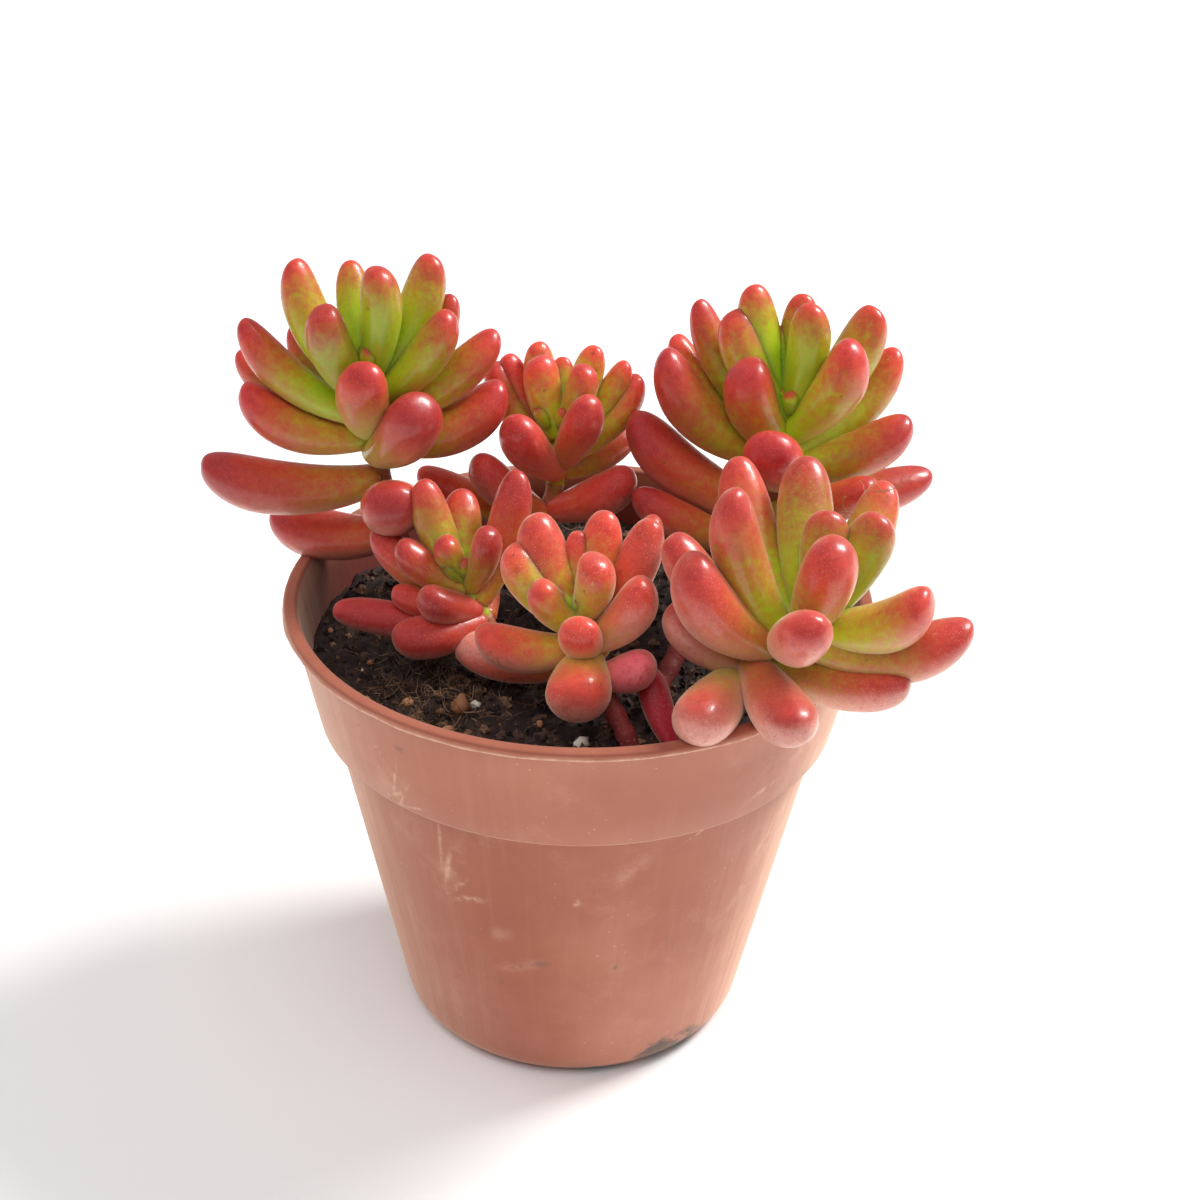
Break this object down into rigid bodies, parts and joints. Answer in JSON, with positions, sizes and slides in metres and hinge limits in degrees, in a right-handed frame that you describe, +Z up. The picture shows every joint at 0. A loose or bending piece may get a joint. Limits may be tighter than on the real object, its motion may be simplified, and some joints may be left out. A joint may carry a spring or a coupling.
{
  "type": "potted succulent plant",
  "caption": "Jelly bean plant: short stems of plump, club-shaped leaves, green at heart and red at the tips, rooted in peat in a small tapered plastic nursery pot with a collar.",
  "frame": {"origin": "centre of the pot's foot, on the ground", "axes": "+Z up the pot's axis, +Y towards the back of the plant, +X to the right as seen from the front"},
  "size_m": [0.0884, 0.071, 0.094],
  "materials": {
    "pot_plastic": "matte, scuffed, thin enough to glow a little",
    "potting_soil": "loose fibrous peat",
    "stem_bark": "smooth young bark with leaf scars",
    "young_leaf": "waxy gloss, green running to red at the tip",
    "grown_leaf": "waxy gloss, red to salmon with a pale underside"
  },
  "bodies": {
    "root": {"crown_back": "young_leaf", "crown_front": "young_leaf", "crown_leaning": "young_leaf", "crown_left": "young_leaf", "crown_right": "young_leaf", "crown_small": "young_leaf", "leaf_back_01": "grown_leaf", "leaf_back_02": "grown_leaf", "leaf_back_03": "grown_leaf", "leaf_back_04": "grown_leaf", "leaf_back_05": "grown_leaf", "leaf_back_06": "grown_leaf", "leaf_front_01": "grown_leaf", "leaf_front_02": "grown_leaf", "leaf_front_03": "grown_leaf", "leaf_front_04": "grown_leaf", "leaf_front_05": "grown_leaf", "leaf_front_06": "grown_leaf", "leaf_leaning_01": "grown_leaf", "leaf_leaning_02": "grown_leaf", "leaf_leaning_03": "grown_leaf", "leaf_leaning_04": "grown_leaf", "leaf_leaning_05": "grown_leaf", "leaf_leaning_06": "grown_leaf", "leaf_leaning_07": "grown_leaf", "leaf_leaning_08": "grown_leaf", "leaf_leaning_09": "grown_leaf", "leaf_leaning_10": "grown_leaf", "leaf_left_01": "grown_leaf", "leaf_left_02": "grown_leaf", "leaf_left_03": "grown_leaf", "leaf_left_04": "grown_leaf", "leaf_left_05": "grown_leaf", "leaf_left_06": "grown_leaf", "leaf_left_07": "grown_leaf", "leaf_left_08": "grown_leaf", "leaf_left_09": "grown_leaf", "leaf_right_01": "grown_leaf", "leaf_right_02": "grown_leaf", "leaf_right_03": "grown_leaf", "leaf_right_04": "grown_leaf", "leaf_right_05": "grown_leaf", "leaf_right_06": "grown_leaf", "leaf_right_07": "grown_leaf", "leaf_right_08": "grown_leaf", "leaf_rooted": "grown_leaf", "leaf_small_01": "grown_leaf", "leaf_small_02": "grown_leaf", "leaf_small_03": "grown_leaf", "leaf_small_04": "grown_leaf", "leaf_small_05": "grown_leaf", "leaf_small_06": "grown_leaf", "pot": "pot_plastic", "soil": "potting_soil", "stem_back": "stem_bark", "stem_front": "stem_bark", "stem_leaning": "stem_bark", "stem_left": "stem_bark", "stem_right": "stem_bark", "stem_small": "stem_bark"}
  },
  "joints": []
}
